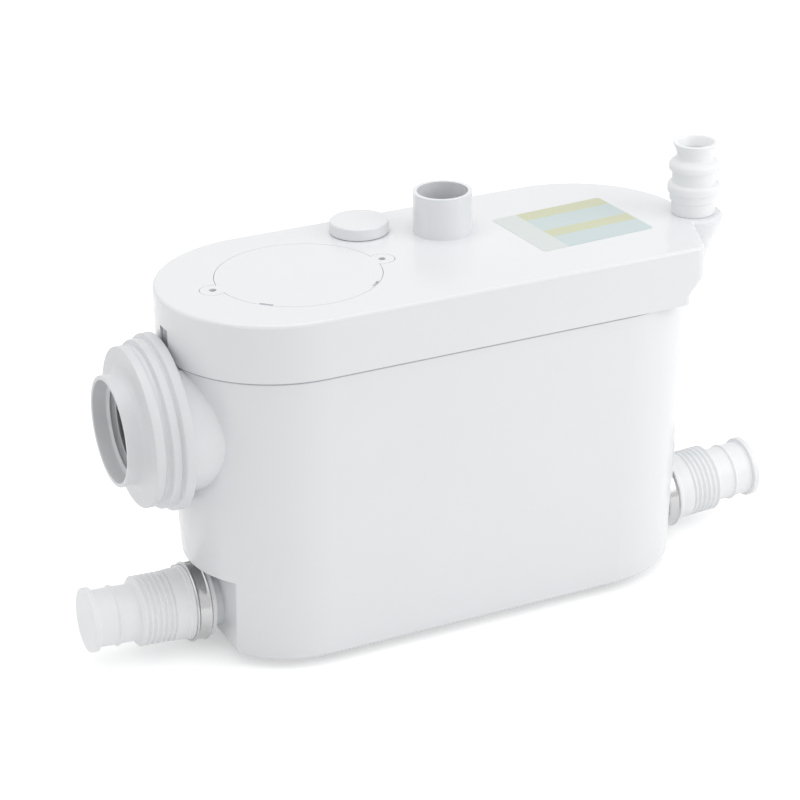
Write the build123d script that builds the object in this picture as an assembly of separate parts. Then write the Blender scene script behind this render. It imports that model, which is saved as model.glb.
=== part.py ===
from build123d import *
import math
import os

os.makedirs("parts", exist_ok=True)

# Macerator toilet pump. Millimetres, Z up, X along the tank with the toilet inlet at -X.
# Pieces are made about the middle of the tank's footprint on the floor. At the end they move
# to the middle of the whole part, which the cable gland sets a little further back, and up by
# foot_lift, because heights here count from a plane that much above the floor.

# Plan of tank and lid: straight sides closed by half-round ends
end_x = 116.5
lid_radius = 86.0
lid_wall = 3.0
seam_inset = 2.0
foot_inset = 12.0

# Heights and walls of tank and lid
foot_lift = 4.0
foot_gap = 3.0
floor_thickness = 4.0
tank_wall = 4.0
seam_z = 223.0
lid_height = 42.0
rim_height = 13.0
rim_wall = 3.4
gasket_height = 2.5
ledge_thickness = 3.0
ledge_reach = 1.0
tank_edge_round = 3.0

# Flat recess low in each end
recess_cut = 14.5
recess_top = 63.0
recess_round = 4.0

# Toilet inlet at the left end
toilet_z = 175.0
toilet_spigot_radius = 52.0
toilet_spigot_bore = 48.0
toilet_spigot_reach = 23.5
toilet_sleeve_depth = 21.8

# Low waste inlets at both ends
waste_z = 28.5
inlet_tilt = 3
waste_spigot_radius = 21.0
waste_spigot_bore = 18.0
waste_spigot_reach = 39.0
waste_sleeve_start = 7.2
waste_sleeve_length = 89.0
waste_sleeve_radius = 27.2
clamp_place = 16.5
clamp_width = 11.5
clamp_edge_radius = 29.4
clamp_screw_y = 35.0
clamp_screw_radius = 3.2

# Discharge on the lid's right end
outlet_overhang = 1.8
outlet_y = -20.0
outlet_bore = 10.0
outlet_stem_radius = 14.0
outlet_stem_length = 7.0
outlet_mouth_height = 46.7
duct_drop = 15.0
duct_radius = 10.5
duct_bore = 7.5
duct_spigot_length = 32.0

# Service cover
cover_x = -101.0
cover_y = -1.0
cover_radius = 58.5
cover_ear_reach = 63.5
cover_ear_radius = 9.0
cover_opening = 52.0
cover_seat_depth = 6.0
cover_seal_height = 1.5
cover_gap = 0.35
cover_screw_shank = 1.5
cover_screw_head = 2.5
cover_screw_length = 12.0
cover_head_depth = 5.0

# Vent and upright stub on the lid
vent_x = -29.5
vent_y = 56.0
vent_neck_radius = 17.0
vent_neck_bore = 14.0
vent_neck_height = 5.0
vent_cap_radius = 21.5
vent_cap_height = 9.2
stub_x = 25.0
stub_y = 30.0
stub_radius = 21.5
stub_bore = 18.5
stub_height = 30.5

# Motor, pump and basket stand on one upright axis
motor_x = 20.0
can_radius = 42.0
can_wall = 2.0
shaft_radius = 6.0
collar_radius = 8.0
bell_bottom = 104.0
bell_top = 110.0
bell_radius = 62.0
can_height = 90.0
cap_height = 6.0
bearing_radius = 14.0
bearing_height = 9.0
lower_bearing_z = 108.0
upper_bearing_drop = 7.0
core_rise = 15.0
core_drop = 20.0
core_inner = 22.0
rod_reach = 49.0
rod_radius = 2.5
rod_angles = (30, 150, 270)
rod_lug_radius = 7.0
rod_head_radius = 4.5
rod_head_bottom = 8.0
rod_head_top = 11.0
can_flange = 2.0
rod_nut_height = 4.0
plate_bottom = 14.0
plate_top = 17.0
pump_radius = 44.0
pump_chamber = 38.0
pump_roof = 37.0
basket_bottom = 40.0
basket_floor = 44.0
basket_gap = 14.0
basket_wall = 3.0
basket_left_x = -105.0
suction_eye = 13.0
pump_outlet_y = -30.0
pump_outlet_z = 28.5
pump_outlet_radius = 11.0
pump_outlet_bore = 8.0
pump_outlet_end = 100.0
nut_bottom = 12.5
nut_thread = 5.0
impeller_bottom = 19.0
impeller_top = 35.0
cutter_bottom = 48.0
cutter_top = 60.0
spacer_radius = 8.5
seal_bottom = 95.0
seal_top = 103.0
seal_rotor_bottom = 86.0
seal_bore_bottom = 94.0

# Inner discharge hose and its non-return valve
valve_x = 150.0
valve_y = -30.0
hose_wall = 2.5
hose_bend = 34.0
hose_overlap = 14.0
hose_top = 174.0
valve_base_gap = 2.0
valve_base_thickness = 3.0
valve_chamber_height = 33.0
valve_chamber_wall = 3.0
valve_socket_height = 17.0
valve_collar_height = 11.0
valve_tail_length = 14.0

# Non-return seat and flap, the same three times
seat_flange_radius = 20.5
seat_flange = 2.0
seat_depth = 7.0
seat_opening = 9.0
flap_radius = 11.2
flap_thickness = 2.0
flap_pin_radius = 0.9
flap_pin_height = 13.9
flap_pin_depth = 2.3
ear_inner = 4.5
ear_outer = 6.5

# Electrics box under the lid, with the level switch in it
box_low_x = 74.0
box_high_x = 144.0
box_low_y = -1.0
box_high_y = 63.0
box_depth = 110.0
box_collar = 12.0
box_wall = 3.0
box_flange = 3.0
box_ear_reach = 4.2
box_ear_radius = 5.0
box_ear_rows = (12.0, 50.0)
box_screw_radius = 1.8
box_screw_bite = 8.0
box_ledge_drop = 30.0
switch_x = 109.0
switch_y = 31.0
tube_radius = 15.0
tube_bore = 12.5
tube_bottom = 18.0
cup_radius = 24.0
cup_bore = 20.5
cup_height = 9.0
rubber_thickness = 1.2
rubber_height = 9.0
rubber_crown = 11.0
dome_gap = 0.4
dome_radius = 23.0
dome_bore = 20.0
dome_height = 29.0
dome_plate = 3.0
plunger_radius = 10.5
plunger_disc = 2.7
plunger_stem = 3.5
plunger_reach = 30.7
spring_radius = 7.0
spring_wire = 0.8
spring_turns = 5
button_radius = 1.6
switch_half_x = 14.0
switch_half_y = 5.2
switch_height = 16.0
post_height = 12.0
capacitor_radius = 15.0
capacitor_y = 22.0
capacitor_drop = 22.0
capacitor_half = 30.0

# Cable gland in the back of the lid's skirt
gland_x = 105.0
gland_drop = 14.0
gland_shank = 7.0
gland_reach = 10.0

# Clearances and the overrun of every cut
seat_fit = 0.05
running_fit = 0.05
rest_gap = 0.3
free_gap = 0.6
overrun = 3.0

# Places that follow from the above
foot_radius = lid_radius - foot_inset
seam_radius = lid_radius - seam_inset
lid_inner = lid_radius - lid_wall
rim_outer = lid_inner - free_gap
rim_inner = rim_outer - rim_wall
ledge_inner = rim_inner - ledge_reach
recess_x = end_x + foot_radius - recess_cut
toilet_spigot_end = end_x + lid_radius + toilet_spigot_reach
outlet_x = end_x + lid_radius + outlet_overhang
basket_radius = foot_radius - basket_gap
hose_start_x = pump_outlet_end - hose_overlap
gland_end = lid_radius + gland_reach

# Heights that follow from the above
floor_top = foot_gap + floor_thickness
rim_top = seam_z + rim_height
lid_top = seam_z + lid_height
gasket_top = rim_top + gasket_height
ledge_top = gasket_top + ledge_thickness
roof_z = lid_top - lid_wall
duct_z = lid_top - duct_drop
duct_spigot_end = duct_z - duct_spigot_length
cover_seat_z = lid_top - cover_seat_depth
cover_head_z = lid_top - cover_head_depth
cover_screw_end = cover_head_z - cover_screw_length
vent_neck_top = lid_top + vent_neck_height
vent_cap_top = lid_top + vent_cap_height
stub_top = lid_top + stub_height
gland_z = lid_top - gland_drop
can_top = bell_top + can_height
core_bottom = bell_top + core_rise
core_top = can_top - core_drop
cap_top = can_top + cap_height
can_flange_top = bell_top + can_flange
upper_bearing_z = can_top - upper_bearing_drop
valve_base_bottom = hose_top + valve_base_gap
valve_base_top = valve_base_bottom + valve_base_thickness
valve_chamber_top = valve_base_top + valve_chamber_height
valve_socket_top = valve_chamber_top + valve_chamber_wall + valve_socket_height
valve_collar_top = valve_base_top + valve_collar_height
box_rim = roof_z - box_collar
box_bottom = box_rim - box_depth
box_ledge_z = box_rim - box_ledge_drop
box_screw_end = box_rim + box_screw_bite
capacitor_z = box_rim - capacitor_drop
tank_slope = (seam_radius - foot_radius) / (seam_z - foot_gap)
box_floor = box_bottom + box_wall
cup_top = box_floor + cup_height
dome_flange_z = cup_top + rubber_thickness + dome_gap
dome_top = dome_flange_z + dome_height
plunger_bottom = cup_top + rubber_height + rest_gap
plunger_top = plunger_bottom + plunger_reach
switch_bottom = dome_top + post_height
flat_start = (Align.CENTER, Align.CENTER, Align.MIN)

# Snap catches of the tank: place along X of the centre they turn about, and the way they face
catches = ((-end_x, 182.3), (end_x, 25), (-end_x / 2, 90), (end_x / 2, 90))

# The frame's origin is below the middle of the whole part, this far behind the tank's middle
middle_y = (gland_end - lid_radius) / 2


def stadium(radius, middle=0, half=end_x):
    """Plan with straight sides closed by half circles of the given radius."""
    return Pos(middle, 0) * SlotCenterToCenter(2 * half, 2 * radius)


def slab(outline, low, high):
    """Plan outline carried up from one height to another."""
    return extrude(Pos(0, 0, low) * outline, high - low)


def disc(radius, low, high, x=0, y=0):
    """Upright cylinder between two heights."""
    return Pos(x, y, low) * Cylinder(radius, high - low, align=flat_start)


def ring(outer, inner, low, high, x=0, y=0):
    """Upright tube between two heights."""
    return disc(outer, low, high, x, y) - disc(inner, low, high, x, y)


def block(x, y, z):
    """Block between a low and a high value on each axis."""
    middle = [(low + high) / 2 for low, high in (x, y, z)]
    size = [high - low for low, high in (x, y, z)]
    return Pos(*middle) * Box(*size)


def rod(start, end, radius):
    """Round bar from one point to another."""
    way = Vector(*end) - Vector(*start)
    return Plane(origin=start, z_dir=way) * Cylinder(radius, way.length, align=flat_start)


def turned(profile):
    """Outline of (radius, height) points turned about Z."""
    points = [(radius, 0, height) for radius, height in profile]
    return revolve(make_face(Polyline(*points, close=True)), Axis.Z)


def hexagon(radius, low, high, x=0, y=0):
    """Upright hexagonal bar, radius over the corners."""
    return slab(Pos(x, y) * RegularPolygon(radius, 6), low, high)


def around(shape, angles, x=0, y=0):
    """Copies of a shape turned about an upright line."""
    return [Pos(x, y) * Rot(0, 0, angle) * shape for angle in angles]


def on_rods(shape):
    """Copies of a shape at the places of the three tie rods."""
    moved = Pos(rod_reach, 0) * shape
    return around(moved, rod_angles, motor_x)


def tank_radius(z):
    """Radius of the tank's outside ends at a height."""
    return foot_radius + tank_slope * (z - foot_gap)


def tapered(inset, low, high):
    """Leaning tank shape drawn in from the outside by an inset."""
    foot = Pos(0, 0, low) * stadium(tank_radius(low) - inset)
    head = Pos(0, 0, high) * stadium(tank_radius(high) - inset)
    return loft([foot, head], ruled=True)


def recess(inset):
    """Two blocks that take the low ends back to flat faces."""
    reach = recess_x - inset
    far = end_x + lid_radius + overrun
    span = (-lid_radius - overrun, lid_radius + overrun)
    rise = (-overrun, recess_top + inset)
    return block((reach, far), span, rise) + block((-far, -reach), span, rise)


def on_recess_side(edge):
    """Whether an edge is an upright side of a recess flat."""
    middle = edge.center()
    low = middle.Z < recess_top and edge.length > recess_top / 2
    return low and abs(abs(middle.X) - recess_x) < seat_fit


def at_catch(shape, place, angle):
    """Turn a shape made facing +X to one of the snap catches."""
    return Pos(place, 0) * Rot(0, 0, angle) * shape


def tank():
    post_x = (-150.0, -130.0)
    post_half = 20.0
    hook_half = 4.5
    hook_drop = 4.5
    hook_bite = 1.8
    tongue_gap = 0.2
    tongue_rise = 8.5
    rim_root = 6.0
    outer = tapered(0, foot_gap, seam_z) - recess(0)
    upright = [edge for edge in outer.edges().filter_by(GeomType.LINE) if on_recess_side(edge)]
    outer = fillet(upright, recess_round)
    outer = fillet(outer.edges().group_by(Axis.Z)[0], tank_edge_round)
    body = outer + slab(stadium(rim_outer), seam_z - rim_root, rim_top)
    spigot_start = -end_x - foot_radius / 2
    hook_low = rim_top - hook_drop
    hook_reach = lid_inner + hook_bite
    body += rod((spigot_start, 0, toilet_z), (-toilet_spigot_end, 0, toilet_z), toilet_spigot_radius)
    spigot = disc(waste_spigot_radius, -tank_wall, waste_spigot_reach)
    body += [at_right_inlet(spigot), at_left_inlet(spigot)]
    body -= tapered(tank_wall, floor_top, seam_z) - recess(tank_wall)
    body -= slab(stadium(rim_inner), seam_z - rim_root, rim_top + overrun)
    far = toilet_spigot_end + overrun
    body -= rod((spigot_start, 0, toilet_z), (-far, 0, toilet_z), toilet_spigot_bore)
    bore = disc(waste_spigot_bore, -tank_wall - overrun, waste_spigot_reach + overrun)
    body -= [at_right_inlet(bore), at_left_inlet(bore)]
    body += block(post_x, (-post_half, post_half), (foot_gap + floor_thickness / 2, basket_bottom))
    tongue = lid_inner + tongue_gap
    corners = ((rim_inner, 0, hook_low), (hook_reach, 0, hook_low), (hook_reach, 0, rim_top + tongue_rise),
               (tongue, 0, rim_top + tongue_rise), (tongue, 0, rim_top), (rim_inner, 0, rim_top))
    hook = make_face(Polyline(*corners, close=True))
    hook = extrude(hook, hook_half, both=True) - disc(rim_outer - free_gap, 0, lid_top)
    for place, angle in catches:
        body += at_catch(hook, place, angle)
    return body - rubber_feet(seat_fit)


def rubber_feet(grow=0):
    pad_radius = 12.0
    foot_x = 110.0
    foot_y = 46.0
    foot_top = 5.0
    places = [(x, y) for x in (-foot_x, foot_x) for y in (-foot_y, foot_y)]
    return Part() + [disc(pad_radius + grow, -foot_lift, foot_top, x, y) for x, y in places]


def lid_gasket():
    return slab(stadium(rim_outer) - stadium(rim_inner), rim_top, gasket_top)


def corner(radius, corner_x, corner_round):
    """Plan of the squared front corner: the front line and a tangent of the round end meet there."""
    turn = 2 * math.atan2(corner_x - end_x, radius) - math.pi / 2
    touch = (end_x + radius * math.cos(turn), radius * math.sin(turn))
    plan = make_face(Polyline((end_x, 0), (end_x, -radius), (corner_x, -radius), touch, close=True))
    point = plan.vertices().sort_by_distance((corner_x, -radius, 0))[0]
    return fillet(point, corner_round)


def lid_shell():
    upper_corner_reach = 58.5
    lower_corner_reach = 46.5
    upper_round = 8.0
    lower_round = 5.0
    chamfer_low = 6.0
    chamfer_high = 18.5
    top_round = 2.5
    chamfer_bottom = seam_z + chamfer_low
    block_bottom = seam_z + chamfer_high
    upper = corner(lid_radius, end_x + upper_corner_reach, upper_round)
    lower = corner(lid_radius, end_x + lower_corner_reach, lower_round)
    shell = slab(stadium(lid_radius) + upper, block_bottom, lid_top)
    shell = fillet(shell.edges().group_by(Axis.Z)[-1], top_round)
    shell += slab(stadium(lid_radius), seam_z, block_bottom)
    shell += loft([Pos(0, 0, chamfer_bottom) * lower, Pos(0, 0, block_bottom) * upper], ruled=True)
    shell += slab(lower, seam_z, chamfer_bottom)
    share = lid_inner / lid_radius
    inner_upper = corner(lid_inner, end_x + upper_corner_reach * share, upper_round - lid_wall)
    inner_lower = corner(lid_inner, end_x + lower_corner_reach * share, lower_round - lid_wall)
    shell -= slab(stadium(lid_inner) + inner_upper, ledge_top, roof_z)
    shell -= slab(stadium(lid_inner) + inner_lower, seam_z - overrun, gasket_top)
    return shell - slab(stadium(ledge_inner), seam_z, roof_z)


def cover_outline(grow):
    """Round hatch with an ear on each side."""
    outline = Circle(cover_radius + grow)
    for side in (-1, 1):
        outline += Pos(side * cover_ear_reach, 0) * Circle(cover_ear_radius + grow)
    return Pos(cover_x, cover_y) * outline


def lid_boss():
    """Conical boss that carries the discharge connector."""
    # Radius and depth below the lid's top
    outline = ((0, lid_height), (8.0, lid_height), (14.2, 22.0), (18.8, 13.0), (22.0, 4.0), (22.0, 2.0),
               (20.0, 0), (0, 0))
    return Pos(outlet_x, outlet_y, lid_top) * Rot(180, 0, 0) * turned(outline)


def cover_screw_places():
    return [(cover_x + side * cover_ear_reach, cover_y) for side in (-1, 1)]


def box_ear_places():
    ear_xs = (box_low_x - box_ear_reach, box_high_x + box_ear_reach)
    return [(x, y) for x in ear_xs for y in box_ear_rows]


def lid():
    tray_wall = 3.0
    screw_boss_radius = 5.0
    slot_half = 6.2
    slot_rise = 7.5
    slot_height = 15.0
    notch_gap = 1.0
    vent_hole_radius = 2.2
    vent_hole_reach = 8.5
    rib_xs = (-14.0, 58.0)
    rib_half = 1.0
    rib_depth = 7.0
    body = lid_shell()
    spread = (-lid_radius, lid_radius)
    ribs = [block((x - rib_half, x + rib_half), spread, (roof_z - rib_depth, roof_z)) for x in rib_xs]
    body += (Part() + ribs) & slab(stadium(lid_inner), ledge_top, roof_z)

    # Service hatch: tray, rebate, opening and screw bosses
    body += slab(cover_outline(cover_gap + tray_wall), cover_seat_z - tray_wall, roof_z)
    body -= slab(cover_outline(cover_gap), cover_seat_z, lid_top + overrun)
    body -= disc(cover_opening, cover_seat_z - tray_wall - overrun, lid_top, cover_x, cover_y)
    for x, y in cover_screw_places():
        body += disc(screw_boss_radius, cover_screw_end - tray_wall, cover_seat_z, x, y)
        body -= disc(cover_screw_shank + seat_fit, cover_screw_end, cover_seat_z + overrun, x, y)

    # Discharge: boss, level duct and the spigot for the inner hose
    body += lid_boss() - slab(stadium(lid_inner), 0, gasket_top)
    elbow = (valve_x, valve_y, duct_z)
    mouth = (outlet_x, outlet_y, duct_z)
    body += rod(elbow, mouth, duct_radius) + Pos(*elbow) * Sphere(duct_radius)
    body += disc(duct_radius, duct_spigot_end, duct_z, valve_x, valve_y)
    body -= rod(elbow, mouth, duct_bore) + Pos(*elbow) * Sphere(duct_bore)
    body -= disc(duct_bore, duct_spigot_end - overrun, duct_z, valve_x, valve_y)
    body -= disc(outlet_bore, duct_z - duct_bore, lid_top + overrun, outlet_x, outlet_y)
    stem_low = lid_top - outlet_stem_length
    body -= disc(outlet_stem_radius + seat_fit, stem_low, lid_top + overrun, outlet_x, outlet_y)

    # Vent neck and the open stub
    body += disc(vent_neck_radius, roof_z, vent_neck_top, vent_x, vent_y)
    body -= disc(vent_neck_bore, lid_top, vent_neck_top + overrun, vent_x, vent_y)
    hole = disc(vent_hole_radius, roof_z - overrun, lid_top + overrun)
    body -= [Pos(vent_x, vent_y) * hole]
    body -= around(Pos(vent_hole_reach, 0) * hole, range(0, 360, 60), vent_x, vent_y)
    body += disc(stub_radius, roof_z, stub_top, stub_x, stub_y)
    body -= disc(stub_bore, roof_z - overrun, stub_top + overrun, stub_x, stub_y)

    # Wall that meets the rim of the electrics box, with its screw bosses
    frame = block((box_low_x, box_high_x), (box_low_y, box_high_y), (box_rim, roof_z))
    inner_x = (box_low_x + box_wall, box_high_x - box_wall)
    inner_y = (box_low_y + box_wall, box_high_y - box_wall)
    body += frame - block(inner_x, inner_y, (box_rim, roof_z))
    for x, y in box_ear_places():
        body += disc(box_ear_radius, box_rim, roof_z, x, y)
        body -= disc(box_screw_radius + seat_fit, box_rim - overrun, box_screw_end, x, y)

    # Notch round the toilet spigot, slots for the catches, hole of the cable gland
    far = end_x + lid_radius + overrun
    notch = toilet_spigot_radius + notch_gap
    body -= rod((-end_x, 0, toilet_z), (-far, 0, toilet_z), notch)
    slot_low = seam_z + slot_rise
    slot_z = (slot_low, slot_low + slot_height)
    slot = block((lid_inner - free_gap, far - end_x), (-slot_half, slot_half), slot_z)
    for place, angle in catches:
        body -= at_catch(slot, place, angle)
    start = (gland_x, lid_inner - overrun, gland_z)
    return body - rod(start, (gland_x, lid_radius + overrun, gland_z), gland_shank + seat_fit)


def service_cover():
    notch_length = 10.0
    notch_width = 2.5
    notch_depth = 2.0
    notch_angles = (-45, -135)
    recess_radius = 46.0
    recess_depth = 1.5
    counterbore = 2.7
    pad_radius = 6.0
    bottom = cover_seat_z + cover_seal_height
    body = slab(cover_outline(0), bottom, lid_top)
    body -= disc(recess_radius, bottom, bottom + recess_depth, cover_x, cover_y)
    for x, y in cover_screw_places():
        body += disc(pad_radius, cover_seat_z, bottom, x, y)
        body -= disc(counterbore, cover_head_z, lid_top + overrun, x, y)
        body -= disc(cover_screw_shank + seat_fit, cover_seat_z - overrun, lid_top, x, y)
    notch = block((cover_radius - notch_width, cover_radius + overrun), (-notch_length / 2, notch_length / 2),
                  (lid_top - notch_depth, lid_top + overrun))
    return body - around(notch, notch_angles, cover_x, cover_y)


def service_cover_seal():
    inner = 52.5
    outer = 57.0
    return ring(outer, inner, cover_seat_z, cover_seat_z + cover_seal_height, cover_x, cover_y)


def service_cover_screws():
    head_height = 1.8
    socket_half = 0.4
    socket_depth = 1.0
    screws = []
    for x, y in cover_screw_places():
        head_top = cover_head_z + head_height
        screw = disc(cover_screw_shank, cover_screw_end, cover_head_z, x, y)
        screw += disc(cover_screw_head, cover_head_z, head_top, x, y)
        slot = block((x - cover_screw_head, x + cover_screw_head), (y - socket_half, y + socket_half),
                     (head_top - socket_depth, head_top + overrun))
        screws.append(screw - slot)
    return Part() + screws


def vent_cap():
    foot = lid_top
    lift = 0.6
    shell = 2.5
    dome_round = 1.6
    leg_half = 2.0
    body = disc(vent_cap_radius, foot + lift, vent_cap_top, vent_x, vent_y)
    body = fillet(body.edges().group_by(Axis.Z)[-1], dome_round)
    body -= disc(vent_cap_radius - shell, foot, vent_cap_top - shell, vent_x, vent_y)
    leg = block((vent_neck_radius + seat_fit, vent_cap_radius - shell / 2), (-leg_half, leg_half),
                (foot, vent_cap_top - shell))
    body += around(leg, (45, 135, 225, 315), vent_x, vent_y)
    return body


def carbon_filter():
    height = 4.0
    return disc(vent_neck_bore - seat_fit, lid_top, lid_top + height, vent_x, vent_y)


def toilet_connector():
    # Outward from the tank: sleeve on the spigot, three rings, shoulder, narrower mouth
    start_x = toilet_sleeve_depth - toilet_spigot_end
    outside = ((62.6, 0), (62.6, 6.8), (59.0, 7.8), (59.0, 8.8), (59.6, 9.3), (59.6, 14.8), (55.5, 15.8),
               (55.5, 18.8), (56.8, 19.8), (56.8, 25.4), (55.8, 26.4), (45.0, 26.4), (41.5, 27.6),
               (39.7, 30.4), (39.25, 33.0), (39.25, 40.0), (38.7, 40.6), (36.8, 40.6), (36.25, 40.0))
    inside = ((36.25, 29.8), (33.2, 29.0), (33.2, 28.2), (36.25, 27.4), (36.25, 25.2), (33.2, 24.4),
              (33.2, 23.6), (36.25, 22.8), (36.25, toilet_sleeve_depth))
    sleeve = toilet_spigot_radius + seat_fit
    body = turned(outside + inside + ((sleeve, toilet_sleeve_depth), (sleeve, 0)))
    return Pos(start_x, 0, toilet_z) * Rot(0, -90, 0) * body


def waste_sleeve():
    """Low connector, closed end at zero, sleeve end up."""
    bead = ((0, 0), (22.2, 0), (23.2, 1.0), (23.2, 3.6), (22.2, 4.6), (20.6, 4.6))
    stub = ((20.6, 18.6), (22.0, 19.3), (22.0, 20.5), (20.6, 21.2), (20.6, 34.4), (23.6, 35.2))
    crest = 25.5
    valley = 23.7
    rib_start = 35.6
    pitch = 4.1
    rib_count = 6
    collar = ((25.7, 60.2), (25.7, 70.0), (26.5, 70.8), (26.5, 72.8), (waste_sleeve_radius, 73.6))
    closed = 4.0
    narrow = 17.0
    wide_start = 36.5
    ribs = ()
    for count in range(rib_count):
        low = rib_start + count * pitch
        ribs += ((valley, low), (crest, low + pitch / 4))
        ribs += ((crest, low + pitch / 2), (valley, low + pitch * 3 / 4))
    socket = waste_spigot_radius + seat_fit
    end = ((waste_sleeve_radius, waste_sleeve_length), (socket, waste_sleeve_length))
    bore = ((socket, wide_start + closed), (narrow, wide_start), (narrow, closed), (0, closed))
    return turned(bead + stub + ribs + collar + end + bore)


def at_right_inlet(shape):
    """Shape made along +Z from the tank's flat, turned outward and a little up; its -X turns up."""
    return Pos(recess_x, 0, waste_z) * Rot(0, 90 - inlet_tilt, 0) * shape


def at_left_inlet(shape):
    return mirror(at_right_inlet(shape), Plane.YZ)


def sleeve_in_place():
    return Pos(0, 0, waste_sleeve_start + waste_sleeve_length) * Rot(180, 0, 0) * waste_sleeve()


def clamp_band():
    body_radius = 28.3
    edge = 1.3
    inner = waste_sleeve_radius + seat_fit
    half = clamp_width / 2
    band = turned(((inner, -half), (clamp_edge_radius, -half), (clamp_edge_radius, edge - half),
                   (body_radius, 2 * edge - half), (body_radius, half - 2 * edge),
                   (clamp_edge_radius, half - edge), (clamp_edge_radius, half), (inner, half)))
    return Pos(0, 0, clamp_place) * band


def clamp_housing():
    half_width = 6.5
    half_height = 7.5
    low_y = 25.0
    high_y = 40.0
    near = clamp_place - half_width
    far = clamp_place + half_width
    body = block((-half_height, half_height), (low_y, high_y), (near, far))
    body -= disc(clamp_edge_radius + seat_fit, near - overrun, far + overrun)
    end = half_height + overrun
    ends = ((-end, clamp_screw_y, clamp_place), (end, clamp_screw_y, clamp_place))
    return body - rod(*ends, clamp_screw_radius + running_fit)


def clamp_screw():
    shank_reach = 10.5
    head_reach = 14.0
    head_start = 9.0
    head_radius = 4.5
    slot_half = 0.5
    slot_depth = 1.5
    slot_z = (head_reach - slot_depth, head_reach + overrun)
    screw = disc(clamp_screw_radius, -shank_reach, head_start)
    screw += hexagon(head_radius, head_start, head_reach)
    screw -= block((-head_radius, head_radius), (-slot_half, slot_half), slot_z)
    return Pos(0, clamp_screw_y, clamp_place) * Rot(0, 90, 0) * screw


def at_both_inlets(shape):
    return Part() + [at_left_inlet(shape), at_right_inlet(shape)]


def discharge_connector():
    # Radius and height above the lid: neck, band, two rings, narrow neck, flared mouth
    outside = ((16.0, 0), (16.0, 9.6), (17.5, 10.4), (17.5, 16.0), (19.2, 16.6), (19.2, 21.5),
               (18.4, 23.0), (16.0, 23.6), (16.0, 32.6), (18.4, 33.4), (18.4, 37.6), (17.0, 39.6),
               (14.0, 41.4), (13.2, 42.6), (13.2, outlet_mouth_height),
               (16.2, 53.4), (15.8, 54.0), (13.6, 54.0))
    base = ((outlet_stem_radius, -outlet_stem_length), (outlet_stem_radius, 0))
    bore = ((outlet_bore, outlet_mouth_height), (outlet_bore, -outlet_stem_length))
    return Pos(outlet_x, outlet_y, lid_top) * turned(base + outside + bore)


def seat():
    """Non-return seat, flange behind zero, its ears reach forward along Z from the face."""
    ring_radius = waste_spigot_bore - seat_fit
    ear_low = 11.8
    ear_high = 16.2
    ear_depth = 5.0
    body = disc(seat_flange_radius, -seat_flange, 0) + disc(ring_radius, -seat_flange / 2, seat_depth)
    for side in (-1, 1):
        span = sorted((side * ear_inner, side * ear_outer))
        body += block((ear_low, ear_high), span, (seat_depth - seat_flange, seat_depth + ear_depth))
    envelope = disc(seat_flange_radius, -seat_flange, 0)
    body &= envelope + disc(ring_radius, -seat_flange, seat_depth + ear_depth)
    body -= disc(seat_opening, -seat_flange - overrun, seat_depth + overrun)
    pin_z = seat_depth + flap_pin_depth
    start = (flap_pin_height, -ear_outer - overrun, pin_z)
    return body - rod(start, (flap_pin_height, ear_outer + overrun, pin_z), flap_pin_radius + running_fit)


def flap():
    """Flap with its arm and pin, closed, on the seat made by seat()."""
    knuckle = 1.6
    arm_half = 3.6
    arm_low = 7.0
    low = seat_depth + rest_gap
    pin_z = seat_depth + flap_pin_depth
    body = disc(flap_radius, low, low + flap_thickness)
    body += block((arm_low, flap_pin_height), (-arm_half, arm_half), (low, low + flap_thickness))
    body += rod((flap_pin_height, -arm_half, pin_z), (flap_pin_height, arm_half, pin_z), knuckle)
    ends = ((flap_pin_height, -ear_outer, pin_z), (flap_pin_height, ear_outer, pin_z))
    return body + rod(*ends, flap_pin_radius)


def in_spigot(shape):
    """Valve facing into the tank from the end of an inlet's spigot, its hinge upward."""
    return Pos(0, 0, waste_spigot_reach) * Rot(0, 180, 0) * shape


def in_discharge(shape):
    return Pos(valve_x, valve_y, valve_base_top + seat_flange) * shape


def valve_base():
    skirt = 2.4
    outer = valve_outer() + seat_fit
    body = disc(outer + skirt, valve_base_bottom, valve_base_top, valve_x, valve_y)
    body += ring(outer + skirt, outer, valve_base_top, valve_collar_top, valve_x, valve_y)
    low = valve_base_bottom - valve_tail_length
    body += disc(pump_outlet_radius, low, valve_base_bottom, valve_x, valve_y)
    return body - disc(pump_outlet_bore, low - overrun, valve_base_top + overrun, valve_x, valve_y)


def valve_outer():
    return waste_spigot_bore + valve_chamber_wall


def valve_chamber():
    top = valve_chamber_top + valve_chamber_wall
    socket = duct_radius + seat_fit
    body = disc(valve_outer(), valve_base_top, top, valve_x, valve_y)
    body += disc(socket + valve_chamber_wall, top, valve_socket_top, valve_x, valve_y)
    flange_top = valve_base_top + seat_flange
    body -= disc(seat_flange_radius + seat_fit, valve_base_top - overrun, flange_top, valve_x, valve_y)
    body -= disc(waste_spigot_bore, valve_base_top, valve_chamber_top, valve_x, valve_y)
    body -= disc(duct_bore, valve_chamber_top - overrun, valve_socket_top, valve_x, valve_y)
    return body - disc(socket, duct_spigot_end, valve_socket_top + overrun, valve_x, valve_y)


def discharge_hose():
    start = (hose_start_x, pump_outlet_y, pump_outlet_z)
    corner_start = (valve_x - hose_bend, pump_outlet_y, pump_outlet_z)
    middle = (valve_x - hose_bend * (1 - math.sin(math.pi / 4)), pump_outlet_y,
              pump_outlet_z + hose_bend * (1 - math.cos(math.pi / 4)))
    corner_end = (valve_x, valve_y, pump_outlet_z + hose_bend)
    path = Line(start, corner_start) + ThreePointArc(corner_start, middle, corner_end)
    path += Line(corner_end, (valve_x, valve_y, hose_top))
    inner = pump_outlet_radius + seat_fit
    section = Circle(inner + hose_wall) - Circle(inner)
    return sweep(Plane(origin=start, z_dir=(1, 0, 0)) * section, path)


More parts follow.
